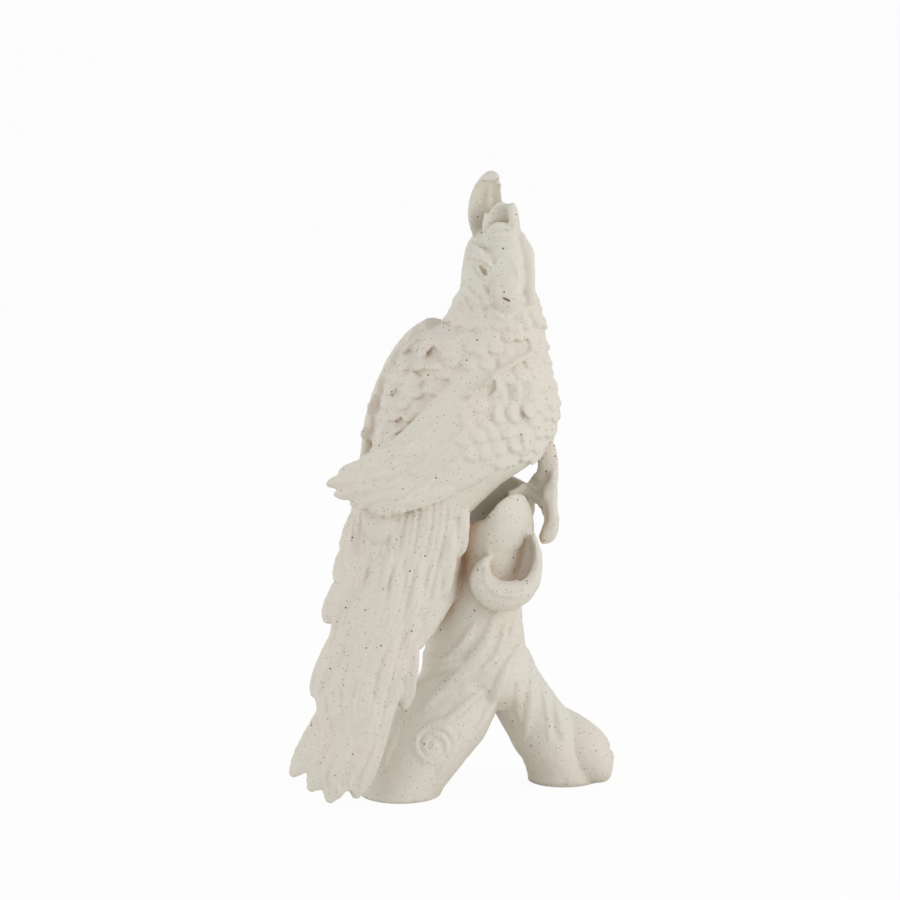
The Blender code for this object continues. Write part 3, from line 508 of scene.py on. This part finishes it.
# The face is a smooth plate over a broad low beak, whose two halves meet in a short slit, with a soft roll
# of feathers at its right. The eye is a slit in a shallow socket under a brow, folds run from it down the
# cheek, and short strands lie down the back of the head.
head = Vector((26.5, -4, neck + 0.55 * 58))
beak_upper = [(2, -10.5, 22, 9, 4), (3.4, -14, 12, 9.6, 5.0), (4.8, -16.4, 3, 8.8, 5.6),
              (5.6, -19.0, -5, 8.2, 7.2),
              (5.4, -20.6, -12, 7.6, 7.4), (4.8, -20, -17.5, 5.8, 6.0), (4.4, -18.5, -22, 2.8, 3.4)]
sweep(clay, moved(beak_upper, head), (-1, -0.1, 0), 30, 44)
cheek_roll = [(10.5, -8, 22, 4.0, 3.0), (14.2, -11.2, 10, 5.6, 3.8), (15.2, -12.8, -4, 6.0, 4.0),
              (17.2, -13.4, -17, 4.2, 3.2)]
sweep(clay, moved(cheek_roll, head), (1, -0.45, 0), 24, 50)
brow = [(-15.5, -12.5, 13, 2.0, 1.6), (-11, -16, 11.6, 2.8, 2.6), (-6.6, -17.5, 7.5, 2.8, 2.8),
        (-3.2, -18.5, 1, 2.2, 2.2)]
sweep(clay, moved(brow, head), (0.3, 0, 1), 16, 40)
side_lobe = [(-9, -14, -3, 2.4, 2.4), (-7.4, -17, -10, 3.6, 3.2), (-6.4, -17.5, -16.5, 3.2, 3.0),
             (-6, -16.5, -21, 1.6, 1.8)]
sweep(clay, moved(side_lobe, head), (1, 0, 0), 16, 40)
face_skin = BVHTree.FromBMesh(clay)
for strand in range(9):
    x = 6 + 5 * strand
    strand_path = ((x, 318 - abs(x - 26) * 0.3), (x - 2, 306), (x - 3, 294), (x - 4, 284))
    ridge(face_skin, strand_path, 2.4, 1.8, 1, sink=0.4)
face_folds = (
    (((-17, 10.5), (-11, 10), (-5.2, 5.5), (-2.6, -2.5)), 2.0, 2.0),
    (((-14.5, 5), (-13, -1), (-9, -5), (-4, -6)), 1.8, 1.8),
    (((-18, -2), (-12, -7), (-7.5, -12), (-5.2, -19)), 2.2, 2.2),
    (((-20, -7), (-15, -11.5), (-11.5, -16), (-10, -22)), 2.4, 2.3),
    (((-2.6, -5), (-3.6, -10), (-3.0, -17)), 1.6, 1.6), (((-22, -12), (-18, -16), (-15.5, -23)), 2.4, 2.2),
    (((-9, -8.5), (-7.6, -11), (-7.6, -15)), 1.6, 1.8), (((-8, 15), (1, 17), (9, 15)), 2.4, 1.4),
    (((-7, 21), (2, 22.5), (9, 21)), 2.4, 1.4), (((-17, 17), (-13, 15), (-8, 11)), 2.0, 1.6),
    (((-3, -19), (3, -24), (9, -21.5)), 2.2, 2.0), (((-18, 22), (-16, 14), (-18, 5)), 2.0, 1.4),
    (((8, 8), (10, 2), (11, -4)), 1.6, 1.0), (((0, 10), (-1, 4), (-0.6, -2)), 1.6, 1.2),
)
for path, wide, thick in face_folds:
    ridge(face_skin, moved_path(path, head), wide, 1.4 * thick, sink=0.1)

# The crest is a tall plume folded into a hood, which rolls forward at its tip. A shorter feather cupped
# like a pocket stands before it, with a curl at its right.
crown = Vector((perch.x, -3, neck + 0.92 * 58))


def hood_section(angle):
    """A leaf bent into a hood: both edges come forward of its middle."""
    across = cos(angle)
    return across, 0.5 * sin(angle) + 1.0 * across ** 2


def shallow_section(angle):
    """The same leaf, less deeply folded."""
    across = cos(angle)
    return across, 0.6 * sin(angle) + 1.1 * across ** 2


plume = [(-3.5, 0, -5.25, 9.6, 4.6), (-5.6, 3, 8.4, 11.0, 4.6), (-6.0, 3.0, 18.9, 10.2, 4.6),
         (-4.8, 0.0, 28, 8.4, 4.4), (-2.0, -4.5, 34, 6.2, 4.0), (2.0, -8.5, 33.2, 2.8, 2.6)]
sweep(clay, moved(plume, crown), (-1, -0.35, 0), 48, 60, hood_section)
pocket = [(4.0, -5, -6.5, 9.0, 3.4), (4.2, -5.5, 4.5, 8.8, 3.2), (5.0, -6, 13.0, 7.8, 2.8),
          (6.4, -7, 18.0, 5.0, 2.4)]
sweep(clay, moved(pocket, crown), (-1, -0.1, 0), 40, 40, shallow_section)
pocket_front = [(4.2, -12, -7, 8.4, 2.8), (4.2, -12.6, -1, 8.4, 2.8), (3.6, -12.2, 4, 7.0, 2.2),
                (3.4, -11.2, 7.5, 3.6, 1.4)]
sweep(clay, moved(pocket_front, crown), (1, 0, 0), 30, 40)
plume_line = [(-2.2, -0.4, 2, 1.8, 1.4), (-3.2, 1.2, 12, 2.0, 1.5), (-3.4, 1.0, 20, 1.8, 1.4),
              (-2.4, -1.6, 28, 1.2, 1.0)]
sweep(clay, moved(plume_line, crown), (1, 0, 0), 12, 40)
curl = [(12.5, -7, -5, 4.4, 3.4), (11.8, -9, 4, 5.0, 3.0), (11.0, -9.5, 12, 4.8, 2.6),
        (9.6, -9.5, 18.2, 3.0, 2.0)]
sweep(clay, moved(curl, crown), (0.25, 1, 0), 24, 50)
crest_foot = [(-6.5, -12, -2.5, 1.4, 2.0), (-1, -14.5, -5, 2.6, 2.4), (6, -14.5, -5.4, 2.8, 2.4),
              (12, -11.5, -3.5, 1.6, 2.0)]
sweep(clay, moved(crest_foot, crown), (0, 0, 1), 16, 40)
crest_line = [(-5.6, -10, -2, 1.2, 1.4), (-5.4, -10, 6, 1.3, 1.5), (-4.6, -8.5, 13, 1.0, 1.2)]
sweep(clay, moved(crest_line, crown), (1, 0, 0), 12, 30)

# Casting: the forms are fused into one skin, opened at the stump's mouth, the curled bark, the eyes, the beak
# and the feet, and cut flat below. Then it is softened as a poured glaze softens an edge, given the fine
# lumps of a surface worked by hand, and stood over the middle of the floor.
grain = 0.9
cutter_grain = 0.8
most_triangles = 190000
lump_height = 0.32


def as_object(form, name):
    mesh = bpy.data.meshes.new(name)
    form.to_mesh(mesh)
    form.free()
    thing = bpy.data.objects.new(name, mesh)
    bpy.context.scene.collection.objects.link(thing)
    return thing


def settled(thing):
    """The same piece with its modifiers worked into its mesh."""
    graph = bpy.context.evaluated_depsgraph_get()
    mesh = bpy.data.meshes.new_from_object(thing.evaluated_get(graph))
    spent = thing.data
    thing.modifiers.clear()
    thing.data = mesh
    bpy.data.meshes.remove(spent)
    mesh.name = thing.name
    return thing


def fused(thing, size):
    skin = thing.modifiers.new("one_skin", "REMESH")
    skin.mode = "VOXEL"
    skin.voxel_size = size * MM
    return settled(thing)


def hollow(form, anchor, offset, radii, turn=(0, 0, 0)):
    """A round shape to cut with, turned by degrees about X, Y and Z."""
    turned = Euler([radians(angle) for angle in turn]).to_matrix().to_4x4()
    size = Matrix.Diagonal((*(Vector(radii) * MM), 1))
    place = Matrix.Translation((Vector(anchor) + Vector(offset)) * MM)
    bmesh.ops.create_uvsphere(form, u_segments=40, v_segments=28, radius=1, matrix=place @ turned @ size)


ornament = fused(as_object(clay, "speckled_bird"), grain)
openings = bmesh.new()
hollow(openings, perch, (1, -8.5, -1), (13.5, 7.0, 14.0), (0, -24, 0))
hollow(openings, perch, (17.5, -24, -30), (5.5, 13, 14), (0, 14, 0))
hollow(openings, head, (-9.0, -22.6, 2.6), (4.6, 4.0, 5.4), (0, -35, 0))
hollow(openings, head, (-8.9, -19.6, 3.0), (1.4, 4.0, 4.4), (0, -35, 0))
hollow(openings, head, (20.5, -6.5, 2), (3.4, 1.8, 2.8))
hollow(openings, head, (4.4, -27.8, -13.2), (3.0, 3.4, 0.8), (0, 26, 0))
for foot in (left_foot, right_foot):
    hollow(openings, (*foot, 0), (0, 0, 4), (7, 7, 16))
below = bmesh.new()
bmesh.ops.create_cube(below, size=1, matrix=Matrix.Translation((0, 0, -25 * MM))
                      @ Matrix.Diagonal((600 * MM, 600 * MM, 50 * MM, 1)))


def cut_away(thing, cutter):
    """The piece without what the cutter covers."""
    cut = thing.modifiers.new("cut_away", "BOOLEAN")
    cut.operation = "DIFFERENCE"
    cut.solver = "MANIFOLD"
    cut.object = cutter
    thing = settled(thing)
    bpy.data.objects.remove(cutter)
    return thing


ornament = cut_away(ornament, fused(as_object(openings, "openings"), cutter_grain))
ornament = cut_away(ornament, as_object(below, "below"))
glaze_flow = ornament.modifiers.new("glaze_flow", "SMOOTH")
glaze_flow.factor = 0.5
glaze_flow.iterations = 1
fewer = ornament.modifiers.new("fewer_faces", "DECIMATE")
fewer.ratio = min(1.0, most_triangles / sum(len(face.vertices) - 2 for face in ornament.data.polygons))
ornament = settled(ornament)
corners = np.empty(len(ornament.data.vertices) * 3)
ornament.data.vertices.foreach_get("co", corners)
corners = corners.reshape(-1, 3)
low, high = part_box("bird_ornament")
shift = Vector(((low[0] + high[0]) / 2, (low[1] + high[1]) / 2, 0)) - Vector(
    (*(corners.min(axis=0)[:2] + corners.max(axis=0)[:2]) / 2, 0))
outwards = [vert.normal.copy() for vert in ornament.data.vertices]
for vert, outward in zip(ornament.data.vertices, outwards):
    lumps = lump_height * noise.noise(vert.co / (5.0 * MM)) + lump_height * noise.noise(vert.co / (2.4 * MM))
    off_floor = min(1.0, max(0.0, vert.co.z / (2 * MM) - 0.1))
    vert.co += outward * (lumps * MM * off_floor)
ornament.data.transform(Matrix.Translation(shift))
ornament.data.shade_smooth()

# Speckled stoneware: a buff clay body full of iron, under a cream matt glaze. The iron burns through
# as fine dark specks and the glaze lies soft and satin. Shade is painted into the hollows as a warmer brown
# where the form is deep.


def linear(code):
    """An sRGB hex colour as linear light."""
    parts = [int(code[place:place + 2], 16) / 255 for place in (1, 3, 5)]
    return (*(part / 12.92 if part <= 0.04045 else ((part + 0.055) / 1.055) ** 2.4 for part in parts), 1.0)


def add(tree, kind, settings=None, links=None):
    """A node with its settings, by attribute or socket, and the links into it."""
    node = tree.nodes.new(kind)
    for name, value in (settings or {}).items():
        if isinstance(name, int) or name in node.inputs:
            node.inputs[name].default_value = value
        else:
            setattr(node, name, value)
    for name, socket in (links or {}).items():
        tree.links.new(socket, node.inputs[name])
    return node


stoneware = bpy.data.materials.new("speckled_stoneware_matt_glaze")
stoneware.use_nodes = True
tree = stoneware.node_tree
shader = tree.nodes["Principled BSDF"]
place = add(tree, "ShaderNodeTexCoord").outputs["Object"]


def specks(spacing_mm, radius_mm):
    """Iron specks: a mask that is 1 inside small round spots about one spacing apart."""
    cells = add(tree, "ShaderNodeTexVoronoi", {"Scale": 1000 / spacing_mm, "Randomness": 1.0},
                {"Vector": place})
    edge = radius_mm / spacing_mm
    return add(tree, "ShaderNodeMapRange", {"From Min": edge, "From Max": 0.55 * edge},
               {"Value": cells.outputs["Distance"]}).outputs["Result"]


patch_mm = 45
drift = add(tree, "ShaderNodeTexNoise", {"Scale": 1000 / patch_mm, "Detail": 3.0, "Roughness": 0.5},
            {"Vector": place})
patches = add(tree, "ShaderNodeMapRange", {"From Min": 0.38, "From Max": 0.62},
              {"Value": drift.outputs["Fac"]})
cream = add(tree, "ShaderNodeMix", {"data_type": "RGBA", 6: linear("#dad6c9"), 7: linear("#ddd4c8")},
            {"Factor": patches.outputs["Result"]}).outputs[2]
# Painted shade: ambient occlusion mixes the colour towards a warm brown in hollows, creases and the stump's
# mouth.
deep = add(tree, "ShaderNodeAmbientOcclusion", {"samples": 8, "only_local": True, "Distance": 0.018})
painted_shade_mask = add(tree, "ShaderNodeMapRange", {"From Min": 0.47, "From Max": 0.08}, {"Value": deep.outputs["AO"]})
colour = add(tree, "ShaderNodeMix", {"data_type": "RGBA", 7: linear("#d2b18c")},
             {0: painted_shade_mask.outputs["Result"], 6: cream}).outputs[2]
for spacing, radius, tone in ((1.7, 0.23, "#a0968a"), (2.9, 0.38, "#665d54"), (8.0, 0.68, "#474039")):
    colour = add(tree, "ShaderNodeMix", {"data_type": "RGBA", 7: linear(tone)},
                 {0: specks(spacing, radius), 6: colour}).outputs[2]
tree.links.new(colour, shader.inputs["Base Color"])
pit_mm = 1.6
pitting = add(tree, "ShaderNodeTexNoise", {"Scale": 1000 / pit_mm, "Detail": 2.0}, {"Vector": place})
satin = add(tree, "ShaderNodeMapRange", {"To Min": 0.46, "To Max": 0.60}, {"Value": pitting.outputs["Fac"]})
tree.links.new(satin.outputs["Result"], shader.inputs["Roughness"])
skin = add(tree, "ShaderNodeBump", {"Strength": 0.8, "Distance": 0.0004}, {"Height": pitting.outputs["Fac"]})
tree.links.new(skin.outputs["Normal"], shader.inputs["Normal"])
shader.inputs["IOR"].default_value = 1.5
shader.inputs["Specular IOR Level"].default_value = 0.4
ornament.data.materials.clear()
ornament.data.materials.append(stoneware)
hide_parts("bird_ornament")
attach(ornament, "root")

# The floor is a white studio sweep. The camera sees it, and the air behind it, as plain white paper, and
# the ornament still casts its shadow on it.
sheet = bmesh.new()
bmesh.ops.create_grid(sheet, x_segments=2, y_segments=2, size=40)
floor = as_object(sheet, "studio_floor")
paper = bpy.data.materials.new("white_paper_sweep")
paper.use_nodes = True
tree = paper.node_tree
shader = tree.nodes["Principled BSDF"]
shader.inputs["Base Color"].default_value = linear("#f4f2ee")
shader.inputs["Roughness"].default_value = 0.9
seen = add(tree, "ShaderNodeLightPath").outputs["Is Camera Ray"]
glow = add(tree, "ShaderNodeEmission", {"Color": (1, 1, 1, 1), "Strength": 1.0})
paper_white = 0.93
share = add(tree, "ShaderNodeMath", {"operation": "MULTIPLY", 1: paper_white}, {0: seen})
mixed = add(tree, "ShaderNodeMixShader", None,
            {0: share.outputs[0], 1: shader.outputs["BSDF"], 2: glow.outputs["Emission"]})
tree.links.new(mixed.outputs[0], tree.nodes["Material Output"].inputs["Surface"])
floor.data.materials.append(paper)

world = bpy.data.worlds.new("studio_air")
world.use_nodes = True
bpy.context.scene.world = world
tree = world.node_tree
path = add(tree, "ShaderNodeLightPath").outputs
air = tree.nodes["Background"]
air.inputs["Color"].default_value = (0.96, 0.98, 1.0, 1)
air.inputs["Strength"].default_value = 0.75
white = add(tree, "ShaderNodeBackground", {"Color": (1, 1, 1, 1), "Strength": 0.99})
shown = add(tree, "ShaderNodeMath", {"operation": "MAXIMUM"},
            {0: path["Is Camera Ray"], 1: path["Is Glossy Ray"]})
shown = add(tree, "ShaderNodeMath", {"operation": "MAXIMUM"},
            {0: shown.outputs[0], 1: path["Is Transmission Ray"]})
mixed = add(tree, "ShaderNodeMixShader", None,
            {0: shown.outputs[0], 1: air.outputs["Background"], 2: white.outputs["Background"]})
tree.links.new(mixed.outputs[0], tree.nodes["World Output"].inputs["Surface"])

# Two large soft boxes light it: the main one from the right of the camera, a little above the ornament,
# and the weaker one from the left.
middle = Vector((-0.00215, 0.0078, 0.195))
soft_box_side = 1.0
for name, offset, power in (("main_soft_box", (1.4, -0.7, 0.45), 7.4),
                            ("fill_soft_box", (-1.4, -0.4, 0.2), 4.2)):
    lamp = bpy.data.lights.new(name, "AREA")
    lamp.size = soft_box_side
    lamp.energy = power
    holder = bpy.data.objects.new(name, lamp)
    holder.location = middle + Vector(offset)
    holder.rotation_euler = (-Vector(offset)).to_track_quat("-Z", "Y").to_euler()
    bpy.context.scene.collection.objects.link(holder)

# The camera stands 2.4 m in front and looks down by 7 degrees, as a product photographer's does.
tilt = radians(7)
distance = 2.4
lens = bpy.data.cameras.new("front_camera")
lens.sensor_width = 36
lens.lens = 36 * distance / 0.513
camera = bpy.data.objects.new("front_camera", lens)
camera.location = middle + Vector((0, -cos(tilt), sin(tilt))) * distance
camera.rotation_euler = (pi / 2 - tilt, 0, 0)
bpy.context.scene.collection.objects.link(camera)
bpy.context.scene.camera = camera
bpy.context.scene.view_settings.view_transform = "Standard"
